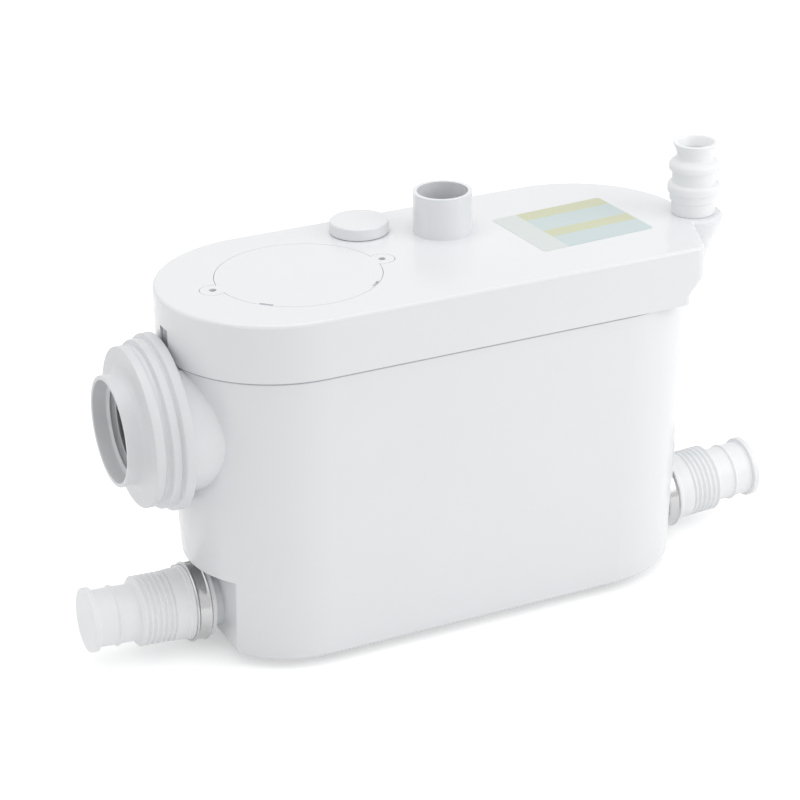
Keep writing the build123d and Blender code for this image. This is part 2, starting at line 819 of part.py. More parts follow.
def hose_clips():
    thickness = 1.0
    width = 8.0
    inset = 3.0
    inner = pump_outlet_radius + hose_wall + 2 * seat_fit
    low_x = hose_start_x + inset
    lower = ring(inner + thickness, inner, 0, width)
    lower = Pos(low_x, pump_outlet_y, pump_outlet_z) * Rot(0, 90, 0) * lower
    high = hose_top - inset
    return Part() + [lower, ring(inner + thickness, inner, high - width, high, valve_x, valve_y)]


def pump_cover():
    leg_counterbore = 5.0
    body = disc(pump_radius, plate_bottom, plate_top, motor_x)
    body += on_rods(disc(rod_lug_radius, floor_top, plate_top))
    body -= on_rods(disc(leg_counterbore, floor_top - overrun, rod_head_top))
    body -= on_rods(disc(rod_radius + seat_fit, 0, plate_top + overrun))
    return body - disc(suction_eye, plate_bottom - overrun, plate_top + overrun, motor_x)


def pump_base():
    hole = 9.0
    body = disc(pump_radius, plate_top, basket_bottom, motor_x)
    body += on_rods(disc(rod_lug_radius, plate_top, basket_bottom))
    start = (motor_x, pump_outlet_y, pump_outlet_z)
    body += rod(start, (pump_outlet_end, pump_outlet_y, pump_outlet_z), pump_outlet_radius)
    body -= disc(pump_chamber, plate_top - overrun, pump_roof, motor_x)
    body -= rod(start, (pump_outlet_end + overrun, pump_outlet_y, pump_outlet_z), pump_outlet_bore)
    body -= on_rods(disc(rod_radius + seat_fit, 0, basket_bottom + overrun))
    return body - disc(hole, pump_roof - overrun, basket_bottom + overrun, motor_x)


def tie_rods():
    head = hexagon(rod_head_radius, rod_head_bottom, rod_head_top)
    end = can_flange_top + rod_nut_height + rod_radius
    return Part() + on_rods(head + disc(rod_radius, rod_head_top, end))


def tie_rod_nuts():
    hole = disc(rod_radius + seat_fit, can_flange_top, can_flange_top + rod_nut_height)
    return Part() + on_rods(hexagon(rod_head_radius, can_flange_top, can_flange_top + rod_nut_height) - hole)


def tie_rod_sleeves():
    sleeve_radius = 5.0
    return Part() + on_rods(ring(sleeve_radius, rod_radius + seat_fit, basket_floor, bell_bottom))


def basket():
    apron_radius = 72.0
    apron_thickness = 3.0
    slot_half = 2.5
    slot_low = 52.0
    slot_high = 96.0
    side_start = -93.0
    side_step = 11.5
    side_count = 10
    end_count = 11
    slot_angle = 15
    first_left_angle = 105
    first_right_angle = -75
    floor_start = -145.0
    floor_step = 11.0
    floor_count = 11
    floor_half = 38.0
    shaft_hole = 10.0
    middle = (basket_left_x + motor_x) / 2
    half = (motor_x - basket_left_x) / 2
    body = slab(stadium(basket_radius, middle, half), basket_bottom, bell_bottom)
    left = (-end_x - apron_radius, basket_left_x)
    wide = (-apron_radius, apron_radius)
    apron = slab(stadium(apron_radius), bell_bottom - apron_thickness, bell_bottom)
    body += apron & block(left, wide, (0, seam_z))
    body -= slab(stadium(basket_radius - basket_wall, middle, half), basket_floor, bell_bottom + overrun)
    cuts = []
    for count in range(side_count):
        x = side_start + count * side_step
        cuts.append(block((x - slot_half, x + slot_half), wide, (slot_low, slot_high)))
    radial = block((basket_radius - basket_wall - overrun, basket_radius + overrun), (-slot_half, slot_half),
                   (slot_low, slot_high))
    turns = [slot_angle * count for count in range(end_count)]
    cuts += around(radial, [first_left_angle + turn for turn in turns], basket_left_x)
    cuts += around(radial, [first_right_angle + turn for turn in turns], motor_x)
    for count in range(floor_count):
        x = floor_start + count * floor_step
        cuts.append(block((x - slot_half, x + slot_half), (-floor_half, floor_half),
                          (basket_bottom - overrun, basket_floor + overrun)))
    cuts.append(disc(shaft_hole, 0, basket_floor + overrun, motor_x))
    cuts += on_rods(disc(rod_radius + seat_fit, 0, basket_floor + overrun))
    return body - cuts


def motor_bottom_bell():
    hub = 20.0
    hub_height = 8.0
    hub_top = bell_top + hub_height
    shaft_hole = collar_radius + free_gap
    seat_radius = bearing_radius + seat_fit
    body = disc(bell_radius, bell_bottom, bell_top, motor_x) + disc(hub, seal_bore_bottom, hub_top, motor_x)
    body -= disc(seat_radius, seal_bore_bottom - overrun, seal_top, motor_x)
    body -= disc(seat_radius, lower_bearing_z, hub_top + overrun, motor_x)
    body -= disc(shaft_hole, 0, hub_top, motor_x)
    return body - on_rods(disc(rod_radius + seat_fit, 0, seam_z))


def motor_can():
    foot_flange = 56.0
    head_flange = 48.0
    head_flange_height = 4.0
    inner = can_radius - can_wall
    body = disc(can_radius, bell_top, can_top, motor_x)
    body += disc(foot_flange, bell_top, can_flange_top, motor_x)
    body += disc(head_flange, can_top - head_flange_height, can_top, motor_x)
    body -= disc(inner, bell_top - overrun, can_top + overrun, motor_x)
    body -= on_rods(disc(rod_radius + seat_fit, 0, seam_z))
    return body - cap_screw_set(seat_fit)


def cap_screw_set(grow=0):
    """Three screws that hold the motor's top bell."""
    reach = 45.0
    shank = 1.6
    shank_depth = 3.0
    head = 2.9
    head_height = 2.0
    screw = disc(shank + grow, can_top - shank_depth, cap_top) + disc(head, cap_top, cap_top + head_height)
    return around(Pos(reach, 0) * screw, (0, 120, 240), motor_x)


def motor_screws():
    return Part() + cap_screw_set()


def motor_top_bell():
    rim = 48.0
    hub = 19.0
    hub_depth = 10.0
    hub_bottom = can_top - hub_depth
    body = disc(rim, can_top, cap_top, motor_x) + disc(hub, hub_bottom, can_top, motor_x)
    body -= disc(bearing_radius + seat_fit, hub_bottom - overrun, upper_bearing_z + bearing_height, motor_x)
    return body - cap_screw_set(seat_fit)


def stator_core():
    return ring(can_radius - can_wall - seat_fit, core_inner, core_bottom, core_top, motor_x)


def stator_windings():
    inner = 24.5
    outer = 37.0
    height = 9.5
    slope = 2.5
    coil = turned(((inner, 0), (outer, 0), (outer, height - slope), (outer - slope, height),
                   (inner + slope, height), (inner, height - slope)))
    upper = Pos(motor_x, 0, core_top) * coil
    return Part() + [upper, Pos(motor_x, 0, core_bottom) * Rot(180, 0, 0) * coil]


def bearing(low):
    return ring(bearing_radius, shaft_radius + running_fit, low, low + bearing_height, motor_x)


def motor_bearings():
    return Part() + [bearing(lower_bearing_z), bearing(upper_bearing_z)]


def shaft_seal():
    return ring(bearing_radius, collar_radius + free_gap, seal_bottom, seal_top, motor_x)


def shaft():
    end = upper_bearing_z + bearing_height - free_gap
    body = disc(nut_thread, nut_bottom, impeller_bottom, motor_x)
    body += disc(shaft_radius, impeller_bottom, end, motor_x)
    return body + disc(collar_radius, cutter_top, bell_bottom, motor_x)


def rotor_core():
    outer = core_inner - free_gap
    return ring(outer, shaft_radius + seat_fit, core_bottom, core_top, motor_x)


def seal_rotor():
    outer = 13.0
    return ring(outer, collar_radius + seat_fit, seal_rotor_bottom, seal_bottom - rest_gap, motor_x)


def spacer():
    return ring(spacer_radius, shaft_radius + seat_fit, impeller_top, cutter_bottom, motor_x)


def impeller_nut():
    corner_radius = 8.0
    nut = hexagon(corner_radius, nut_bottom, impeller_bottom, motor_x)
    return nut - disc(nut_thread + seat_fit, 0, impeller_bottom + overrun, motor_x)


def impeller():
    plate_radius = 34.0
    plate_thickness = 3.0
    hub = 9.0
    vane_start = 7.0
    vane_end = 33.0
    vane_bulge = 6.0
    vane_thickness = 2.6
    vane_gap = 1.6
    vane_drop = 14.0
    vanes = 5
    plate_low = impeller_top - plate_thickness
    inner = ThreePointArc((vane_start, 0), (vane_end / 2, vane_bulge), (vane_end, -vane_gap))
    crown = (vane_end / 2, vane_bulge + vane_thickness)
    outer = ThreePointArc((vane_end, vane_gap), crown, (vane_start, vane_thickness))
    outline = make_face([inner, Line(inner @ 1, outer @ 0), outer, Line(outer @ 1, inner @ 0)])
    vane = slab(outline, impeller_top - vane_drop, impeller_top)
    step = 360 / vanes
    body = disc(plate_radius, plate_low, impeller_top) + disc(hub, impeller_bottom, impeller_top)
    body += [Rot(0, 0, step * count) * vane for count in range(vanes)]
    return Pos(motor_x) * (body - disc(shaft_radius + seat_fit, 0, seam_z))


def cutter():
    hub = 13.0
    arm_length = 38.0
    arm_half = 7.0
    arm_low = 50.0
    arm_high = 53.0
    knife_start = 34.0
    knife_top = 70.0
    knife_half = 4.0
    lean = 45
    body = disc(hub, cutter_bottom, cutter_top)
    arm = block((0, arm_length), (-arm_half, arm_half), (arm_low, arm_high))
    knife = block((knife_start, arm_length), (-knife_half, knife_half), (arm_low, knife_top))
    bevel = Pos(arm_length, arm_half, 0) * Rot(0, 0, lean) * Box(arm_half, arm_half, 2 * seam_z)
    body += around(arm + knife - bevel, (0, 180))
    return Pos(motor_x) * (body - disc(shaft_radius + seat_fit, 0, seam_z))


def electrics_box():
    saddle_depth = 5.0
    saddle_height = 28.0
    saddle_half = 12.0
    ledge_half = 16.0
    ledge_depth = 14.0
    ledge_height = 6.0
    wire_hole = 4.0
    across = (box_low_x, box_high_x)
    deep = (box_low_y, box_high_y)
    inner_x = (box_low_x + box_wall, box_high_x - box_wall)
    inner_y = (box_low_y + box_wall, box_high_y - box_wall)
    body = block(across, deep, (box_bottom, box_rim))
    for x, y in box_ear_places():
        body += disc(box_ear_radius, box_rim - box_flange, box_rim, x, y)
    body -= block(inner_x, inner_y, (box_floor, box_rim + overrun))
    saddle_y = (capacitor_y - saddle_half, capacitor_y + saddle_half)
    rise = (capacitor_z - saddle_height, capacitor_z)
    saddles = block((inner_x[0] - box_wall / 2, inner_x[0] + saddle_depth), saddle_y, rise)
    saddles += block((inner_x[1] - saddle_depth, inner_x[1] + box_wall / 2), saddle_y, rise)
    body += saddles - capacitor(seat_fit)
    body += block((switch_x - ledge_half, switch_x + ledge_half), (inner_y[1] - ledge_depth, inner_y[1]),
                  (box_ledge_z - ledge_height, box_ledge_z))
    for x, y in box_ear_places():
        body -= disc(box_screw_radius + seat_fit, 0, seam_z + lid_top, x, y)
    body -= disc(tube_radius + seat_fit, box_bottom - overrun, box_floor + overrun, switch_x, switch_y)
    wire_z = box_rim - 2 * box_flange
    start = (gland_x, inner_y[1] - overrun, wire_z)
    return body - rod(start, (gland_x, box_high_y + overrun, wire_z), wire_hole)


def electrics_box_screws():
    head_radius = 3.4
    head_height = 2.6
    low = box_rim - box_flange
    screw = disc(box_screw_radius, low, box_screw_end) + disc(head_radius, low - head_height, low)
    return Part() + [Pos(x, y) * screw for x, y in box_ear_places()]


def capacitor(grow=0):
    start = (switch_x - capacitor_half, capacitor_y, capacitor_z)
    return rod(start, (switch_x + capacitor_half, capacitor_y, capacitor_z), capacitor_radius + grow)


def terminal_block():
    half = 14.0
    thickness = 11.0
    height = 11.0
    hole = 2.2
    hole_step = 9.0
    hole_depth = 6.0
    back = box_high_y - box_wall
    top = box_ledge_z + height
    body = block((switch_x - half, switch_x + half), (back - thickness, back), (box_ledge_z, top))
    drill = disc(hole, top - hole_depth, top + overrun, switch_x, back - thickness / 2)
    return body - [Pos(count * hole_step) * drill for count in (-1, 0, 1)]


def pressure_tube():
    cup_floor = 3.0
    cup_low = box_floor
    body = disc(tube_radius, tube_bottom, cup_low, switch_x, switch_y)
    body += disc(cup_radius, cup_low, cup_top, switch_x, switch_y)
    body -= disc(cup_bore, cup_low + cup_floor, cup_top + overrun, switch_x, switch_y)
    return body - disc(tube_bore, tube_bottom - overrun, cup_low + cup_floor + overrun, switch_x, switch_y)


def diaphragm():
    slope_start = 19.5
    slope_end = rubber_crown + rubber_thickness
    skin = ((0, rubber_height), (rubber_crown, rubber_height), (slope_start, rubber_thickness),
            (cup_radius, rubber_thickness), (cup_radius, 0), (slope_start - rubber_thickness, 0),
            (rubber_crown - rubber_thickness / 2, rubber_height - rubber_thickness),
            (0, rubber_height - rubber_thickness))
    return Pos(switch_x, switch_y, cup_top) * turned(skin)


def diaphragm_cover():
    skirt = 2.5
    skirt_depth = 6.0
    skirt_low = cup_top - skirt_depth
    inner = cup_radius + seat_fit
    flange = 3.0
    post_half_x = 2.5
    post_half_y = switch_half_y
    body = disc(inner + skirt, skirt_low, dome_flange_z + flange, switch_x, switch_y)
    body += disc(dome_radius, dome_flange_z, dome_top, switch_x, switch_y)
    for side in (-1, 1):
        x = switch_x + side * (switch_half_x - post_half_x)
        body += block((x - post_half_x, x + post_half_x), (switch_y - post_half_y, switch_y + post_half_y),
                      (dome_top - dome_plate, switch_bottom))
    body -= disc(inner, skirt_low - overrun, dome_flange_z, switch_x, switch_y)
    body -= disc(dome_bore, dome_flange_z - overrun, dome_top - dome_plate, switch_x, switch_y)
    stem_hole = disc(plunger_stem + free_gap, dome_top - dome_plate - overrun, dome_top + overrun)
    return body - Pos(switch_x, switch_y) * stem_hole


def plunger():
    body = disc(plunger_radius, plunger_bottom, plunger_bottom + plunger_disc, switch_x, switch_y)
    return body + disc(plunger_stem, plunger_bottom, plunger_top, switch_x, switch_y)


def plunger_spring():
    low = plunger_bottom + plunger_disc + spring_wire + rest_gap / 3
    high = dome_top - dome_plate - spring_wire - rest_gap / 3
    coil = Helix((high - low) / spring_turns, high - low, spring_radius)
    wire = sweep(Plane(origin=coil @ 0, z_dir=coil % 0) * Circle(spring_wire), coil)
    return Pos(switch_x, switch_y, low) * wire


def microswitch():
    hole_depth = 8.0
    rise = (switch_bottom, switch_bottom + switch_height)
    body = block((-switch_half_x, switch_half_x), (-switch_half_y, switch_half_y), rise)
    body -= disc(button_radius + running_fit, switch_bottom - overrun, switch_bottom + hole_depth)
    return Pos(switch_x, switch_y) * body


def microswitch_button():
    length = 7.0
    low = plunger_top + rest_gap
    return disc(button_radius, low, low + length, switch_x, switch_y)


def gland_bar(radius, start, end):
    return rod((gland_x, start, gland_z), (gland_x, end, gland_z), radius)


def cable_gland():
    hex_radius = 9.2
    hex_depth = 5.0
    dome = 7.0
    shank_length = 8.5
    bore = 4.2
    shank_end = lid_radius - shank_length
    hexed = Plane(origin=(gland_x, lid_radius, gland_z), z_dir=(0, 1, 0)) * RegularPolygon(hex_radius, 6)
    body = extrude(hexed, hex_depth)
    body += gland_bar(dome, lid_radius, gland_end)
    body += gland_bar(gland_shank, shank_end, lid_radius)
    return body - gland_bar(bore, shank_end - overrun, gland_end + overrun)


def cable_gland_nut():
    hex_radius = 9.4
    depth = 4.5
    hexed = Plane(origin=(gland_x, lid_inner, gland_z), z_dir=(0, -1, 0)) * RegularPolygon(hex_radius, 6)
    hole = gland_bar(gland_shank + seat_fit, lid_inner - depth - overrun, lid_inner + overrun)
    return extrude(hexed, depth) - hole


nodes = {
    "tank": tank,
    "rubber_feet": rubber_feet,
    "lid": lid,
    "lid_gasket": lid_gasket,
    "service_cover": service_cover,
    "service_cover_seal": service_cover_seal,
    "service_cover_screws": service_cover_screws,
    "vent_cap": vent_cap,
    "carbon_filter": carbon_filter,
    "toilet_connector": toilet_connector,
    "left_waste_connector": lambda: at_left_inlet(sleeve_in_place()),
    "right_waste_connector": lambda: at_right_inlet(sleeve_in_place()),
    "clamp_bands": lambda: at_both_inlets(clamp_band()),
    "clamp_housings": lambda: at_both_inlets(clamp_housing()),
    "clamp_screws": lambda: at_both_inlets(clamp_screw()),
    "discharge_connector": discharge_connector,
    "left_valve_seat": lambda: at_left_inlet(in_spigot(seat())),
    "left_valve_flap": lambda: at_left_inlet(in_spigot(flap())),
    "right_valve_seat": lambda: at_right_inlet(in_spigot(seat())),
    "right_valve_flap": lambda: at_right_inlet(in_spigot(flap())),
    "discharge_valve_seat": lambda: in_discharge(seat()),
    "discharge_valve_flap": lambda: in_discharge(flap()),
    "valve_base": valve_base,
    "valve_chamber": valve_chamber,
    "discharge_hose": discharge_hose,
    "hose_clips": hose_clips,
    "pump_cover": pump_cover,
    "pump_base": pump_base,
    "tie_rods": tie_rods,
    "tie_rod_nuts": tie_rod_nuts,
    "tie_rod_sleeves": tie_rod_sleeves,
    "basket": basket,
    "motor_bottom_bell": motor_bottom_bell,
    "motor_can": motor_can,
    "motor_top_bell": motor_top_bell,
    "motor_screws": motor_screws,
    "stator_core": stator_core,
    "stator_windings": stator_windings,
    "motor_bearings": motor_bearings,
    "shaft_seal": shaft_seal,
    "shaft": shaft,
    "rotor_core": rotor_core,
    "seal_rotor": seal_rotor,
    "spacer": spacer,
    "impeller": impeller,
    "impeller_nut": impeller_nut,
    "cutter": cutter,
    "electrics_box": electrics_box,
    "electrics_box_screws": electrics_box_screws,
    "capacitor": capacitor,
    "terminal_block": terminal_block,
    "pressure_tube": pressure_tube,
    "diaphragm": diaphragm,
    "diaphragm_cover": diaphragm_cover,
    "plunger": plunger,
    "plunger_spring": plunger_spring,
    "microswitch": microswitch,
    "microswitch_button": microswitch_button,
    "cable_gland": cable_gland,
    "cable_gland_nut": cable_gland_nut,
}

for name, make in nodes.items():
    export_step(Pos(0, -middle_y, foot_lift) * make(), f"parts/{name}.step")
    print(name)
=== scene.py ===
# %% [markdown]
# # Macerator toilet pump
# A white tank that stands behind a toilet, grinds its waste and lifts it up a thin pipe.
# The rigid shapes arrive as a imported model, which is loaded first and never moved. This lesson
# gives them their finishes, makes the soft rubber sleeves, the steel clamps and a spring in finer
# shapes, and sets up the studio.

# %% Load the frame
import bpy
import math
import numpy as np
from mathutils import Matrix, Vector


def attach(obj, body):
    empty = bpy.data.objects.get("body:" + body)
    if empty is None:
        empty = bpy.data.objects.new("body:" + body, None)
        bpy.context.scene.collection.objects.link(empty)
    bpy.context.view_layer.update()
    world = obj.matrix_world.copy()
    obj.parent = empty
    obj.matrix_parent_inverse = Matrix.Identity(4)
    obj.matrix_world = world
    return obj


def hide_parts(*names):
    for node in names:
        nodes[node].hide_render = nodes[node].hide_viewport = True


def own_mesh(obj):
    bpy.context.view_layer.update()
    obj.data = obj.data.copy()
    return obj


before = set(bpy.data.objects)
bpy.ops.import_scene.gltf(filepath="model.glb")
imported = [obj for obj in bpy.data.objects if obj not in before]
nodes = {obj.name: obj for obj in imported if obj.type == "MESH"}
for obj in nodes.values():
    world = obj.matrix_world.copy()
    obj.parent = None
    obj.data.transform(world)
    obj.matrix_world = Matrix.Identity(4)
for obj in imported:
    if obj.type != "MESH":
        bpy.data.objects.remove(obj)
scene = bpy.context.scene
MM = 0.001
TANK = np.array((0, -5.0, 4.0))  # where the measures below start, in millimetres from the origin


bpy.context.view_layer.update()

# %% [markdown]
# ## Rounded outlines
# A turned piece starts as a closed outline of radius and height. A moulded edge is never sharp,
# and it is the rounding that catches the light, so each corner becomes a short curve. A Bevel
# modifier could do the same, but here the number of points stays known.

# %% Rounded outlines
def rounded(outline, radius, steps=5):
    """Corner P between edge points A and B becomes (1-t)^2 A + 2t(1-t) P + t^2 B.

    A and B lie one radius from P, or 0.45 of the shorter edge where that is less.
    """
    corner = np.array(outline, float)
    back = np.roll(corner, 1, 0) - corner
    ahead = np.roll(corner, -1, 0) - corner
    back_length = np.linalg.norm(back, axis=1, keepdims=True)
    ahead_length = np.linalg.norm(ahead, axis=1, keepdims=True)
    reach = np.minimum(radius, 0.45 * np.minimum(back_length, ahead_length))
    a = (corner + back / back_length * reach)[:, None]
    b = (corner + ahead / ahead_length * reach)[:, None]
    t = np.linspace(0, 1, steps)[None, :, None]
    return ((1 - t) ** 2 * a + 2 * t * (1 - t) * corner[:, None] + t ** 2 * b).reshape(-1, 2)


print("points of a rounded square", len(rounded(((0, 0), (1, 0), (1, 1), (0, 1)), 0.2)))

# %% [markdown]
# ## From a grid of points to a mesh
# A surface is worked out as a grid of points, and each four neighbours become a face. The sign of
# the volume that the faces enclose tells whether they point outwards, so nothing has to be
# turned by hand.

# %% Grids into meshes
def quads(rows, columns, round_rows=True):
    """Faces between neighbours of a grid whose columns close round, and whose rows may."""
    row = np.arange(rows if round_rows else rows - 1)[:, None]
    column = np.arange(columns)[None, :]
    next_row = (row + 1) % rows
    next_column = (column + 1) % columns
    corners = (row * columns + column, row * columns + next_column,
               next_row * columns + next_column, next_row * columns + column)
    return np.stack(np.broadcast_arrays(*corners), -1).reshape(-1, 4)


def piece(name, points, faces):
    """Smooth mesh object of points in millimetres, whose faces A B C D point outwards.

    Their volume is a positive share of the sum of A . (B x C + C x D), or they are turned over.
    """
    points = points.reshape(-1, 3) * MM
    a, b, c, d = (points[faces[:, corner]] for corner in range(4))
    if np.sum(a * (np.cross(b, c) + np.cross(c, d))) < 0:
        faces = faces[:, ::-1]
    mesh = bpy.data.meshes.new(name)
    mesh.from_pydata(points.tolist(), [], faces.tolist())
    mesh.polygons.foreach_set("use_smooth", np.ones(len(faces), bool))
    mesh.update()
    made = bpy.data.objects.new(name, mesh)
    scene.collection.objects.link(made)
    print(name, "faces", len(faces))
    return made


print("faces of a closed grid of 4 by 3", len(quads(4, 3)))

# %% [markdown]
# ## Turning an outline round an axis
# The sleeves, the cuff and the spout are all turned pieces. Each is worked out upright, then laid
# along its own axis by three directions written as rows, so its object itself is never turned.

# %% Turned surfaces
def axes(along):
    """Rows are across, up and along: across is +Y, and up = along x across."""
    along = np.array(along, float)
    across = np.array((0.0, 1.0, 0.0))
    return np.stack((across, np.cross(along, across), along))


def turned(name, outline, origin, along, sides=128):
    """Radius r and height h at angle a: (r cos a, r sin a, h), turned to the axis and moved."""
    angle = np.linspace(0, 2 * math.pi, sides, endpoint=False)[:, None]
    radius, height = outline[:, 0][None, :], outline[:, 1][None, :]
    upright = (radius * np.cos(angle), radius * np.sin(angle), height)
    local = np.stack(np.broadcast_arrays(*upright), -1)
    points = local @ axes(along) + TANK + np.array(origin, float)
    return piece(name, points, quads(sides, len(outline)))


print("directions of a piece along +X", axes((1, 0, 0)).tolist())

# %% [markdown]
# ## Shader sums as plain expressions
# A small class wraps a socket, so that a mask can be written as an ordinary sum. Every other node
# comes from one method: its settings first, then what goes into its sockets.

# %% Sums on sockets
class Value:
    """A number, colour or shader that comes out of a node."""

    def __init__(self, tree, socket):
        self.tree = tree
        self.socket = socket

    def calculate(self, operation, first, second):
        return self.tree.add("ShaderNodeMath", {"operation": operation}, {0: first, 1: second})

    def __add__(self, other):
        return self.calculate("ADD", self, other)

    def __sub__(self, other):
        return self.calculate("SUBTRACT", self, other)

    def __rsub__(self, other):
        return self.calculate("SUBTRACT", other, self)

    def __mul__(self, other):
        return self.calculate("MULTIPLY", self, other)

    __radd__ = __add__
    __rmul__ = __mul__


# %% Nodes of a material or a sky
class Nodes:
    """A node tree under construction."""

    def __init__(self, tree):
        self.tree = tree
        self.tree.nodes.clear()

    def fill(self, socket, value):
        """A constant goes on the socket, a varying value is linked to it."""
        if isinstance(value, Value):
            self.tree.links.new(value.socket, socket)
        else:
            socket.default_value = value

    def set_stops(self, ramp, stops):
        """Places from 0 to 1 with their colours, which change abruptly."""
        ramp.interpolation = "CONSTANT"
        for element, (place, color) in zip(ramp.elements, (stops[0], stops[-1])):
            element.position, element.color = place, (*color, 1)
        for place, color in stops[1:-1]:
            ramp.elements.new(place).color = (*color, 1)

    def add(self, kind, settings=None, inputs=None, output=0):
        """New node, which gives back one of its outputs if it has any."""
        node = self.tree.nodes.new(kind)
        for name, value in (settings or {}).items():
            if name == "stops":
                self.set_stops(node.color_ramp, value)
            else:
                setattr(node, name, value)
        for name, value in (inputs or {}).items():
            self.fill(node.inputs[name], value)
        return Value(self, node.outputs[output]) if node.outputs else None


# %% Finishes
class Finish(Nodes):
    """A material under construction, with its shader."""

    def __init__(self, name, color, roughness, metallic=0.0, coat=0.0):
        self.material = bpy.data.materials.new(name)
        self.material.use_nodes = True
        self.material.diffuse_color = (*color, 1)
        super().__init__(self.material.node_tree)
        surface = self.add("ShaderNodeBsdfPrincipled")
        self.add("ShaderNodeOutputMaterial", {}, {"Surface": surface})
        self.shader = surface.socket.node
        self.set("Base Color", (*color, 1))
        self.set("Roughness", roughness)
        self.set("Metallic", metallic)
        self.set("Coat Weight", coat)
        self.set("Coat Roughness", 0.08)

    def set(self, name, value):
        self.fill(self.shader.inputs[name], value)

    def place(self, scale=(1, 1, 1)):
        """Object coordinates in metres, stretched by a scale."""
        coordinate = self.add("ShaderNodeTexCoord", output="Object")
        return self.add("ShaderNodeMapping", {}, {"Vector": coordinate, "Scale": scale})

    def noise(self, size, detail=2.0, scale=(1, 1, 1)):
        """Soft noise from 0 to 1 whose patches are about size metres wide."""
        inputs = {"Vector": self.place(scale), "Scale": 1 / size, "Detail": detail}
        return self.add("ShaderNodeTexNoise", {}, inputs, "Fac")

    def mix(self, factor, first, second):
        """Colour between two others, which are the Mix node's sockets 6 and 7 and its output 2."""
        first, second = (c if isinstance(c, Value) else (*c, 1) for c in (first, second))
        inputs = {"Factor": factor, 6: first, 7: second}
        return self.add("ShaderNodeMix", {"data_type": "RGBA"}, inputs, 2)

    def bump(self, height, distance, strength):
        """Height from 0 to 1 lifts the surface by a distance in metres."""
        inputs = {"Height": height, "Distance": distance, "Strength": strength}
        self.set("Normal", self.add("ShaderNodeBump", {}, inputs))


# %% Giving a finish to a piece
def dress(names, finish):
    """Give CAD nodes a finish."""
    for name in names.split():
        mesh = nodes[name].data
        mesh.materials.clear()
        mesh.materials.append(finish.material)
    print(finish.material.name, "on", len(names.split()), "nodes")


def paint(made, finish):
    """Give a new piece a finish."""
    made.data.materials.clear()
    made.data.materials.append(finish.material)


# %% [markdown]
# ## White moulded plastic
# The housing is glossy injection-moulded plastic. The mould's polish leaves a faint unevenness
# that only shows in reflections, so it goes into the bump and the roughness. The colour hardly
# varies, slightly greyer in patches.

# %% Housing plastic
def moulded(name, light, dark, roughness):
    """Plastic between two colours, whose roughness varies by 0.04 either way."""
    finish = Finish(name, light, roughness, coat=0.25)
    finish.color = finish.mix(finish.noise(0.08, 1), light, dark)
    finish.set("Base Color", finish.color)
    scuffs = finish.noise(0.012, 3)
    finish.set("Roughness", scuffs * 0.08 + (roughness - 0.04))
    finish.bump(finish.noise(0.0016, 2), 0.00002, 0.35)
    return finish


WHITE, GREYER_WHITE = (0.82, 0.833, 0.855), (0.805, 0.817, 0.835)
dress("lid service_cover vent_cap", moulded("housing_plastic", WHITE, GREYER_WHITE, 0.24))

# %% [markdown]
# ## A line of painted shade under the lid
# The lid's rim overhangs the tank by two millimetres, and the tank's wall right below it lies in
# the gap's shade, which is painted into the tank's colour. A mask that grows with height darkens
# the last millimetre that can be seen with this painted shade. What of the tank stands higher, such
# as the lid's catches in their slots, takes the same painted grey.

# %% Tank plastic
# painted shade: a dark band just below the lid's rim stands for the shadow of the gap under it
PAINTED_SHADE_STARTS, PAINTED_SHADE_IS_FULL = 0.2246, 0.2256  # heights in metres, just below the lid's rim
tank_plastic = moulded("tank_plastic", WHITE, GREYER_WHITE, 0.24)
height = tank_plastic.add("ShaderNodeSeparateXYZ", {}, {"Vector": tank_plastic.place()}, "Z")
below_rim = {"Value": height, "From Min": PAINTED_SHADE_STARTS, "From Max": PAINTED_SHADE_IS_FULL}
painted_shade = tank_plastic.add("ShaderNodeMapRange", {"interpolation_type": "SMOOTHSTEP"}, below_rim)
# painted shade: the tank's colour turns grey where the mask is full, in place of the shadow under
# the rim
tank_plastic.set("Base Color", tank_plastic.mix(painted_shade, tank_plastic.color, (0.40, 0.41, 0.43)))
dress("tank", tank_plastic)

# %% [markdown]
# ## The other finishes
# Rubber is duller than the housing and carries a fine skin. Metal is brushed or cast, which is the
# same noise, stretched along the brushing or left even. The inside pieces get plain moulded
# plastic, cast metal, wire and rubber, each with its own grain.

# %% Kinds of rubber and metal
def rubber(name, color, roughness=0.42):
    """Rubber that is up to 5 percent darker in patches, with a fine skin."""
    finish = Finish(name, color, roughness)
    dark = tuple(value * 0.95 for value in color)
    finish.set("Base Color", finish.mix(finish.noise(0.02, 2), color, dark))
    finish.set("Roughness", finish.noise(0.004, 2) * 0.12 + (roughness - 0.06))
    finish.bump(finish.noise(0.0009, 2), 0.00003, 0.4)
    return finish


def metal(name, color, roughness, scale, grain=0.0012):
    """Metal with a grain in metres, stretched where the scale is less than 1."""
    finish = Finish(name, color, roughness, metallic=1.0)
    lines = finish.noise(grain, 3, scale)
    dark = tuple(value * 0.82 for value in color)
    finish.set("Base Color", finish.mix(lines, color, dark))
    finish.set("Roughness", lines * 0.2 + (roughness - 0.08))
    finish.bump(lines, 0.00002, 0.3)
    return finish


white_rubber = rubber("white_rubber", (0.905, 0.915, 0.93))
cuff_rubber = rubber("cuff_rubber", (0.765, 0.777, 0.797))
steel = metal("brushed_steel", (0.58, 0.58, 0.585), 0.16, (4, 0.4, 0.4))
print("finishes for the new pieces", white_rubber.material.name, cuff_rubber.material.name,
      steel.material.name)

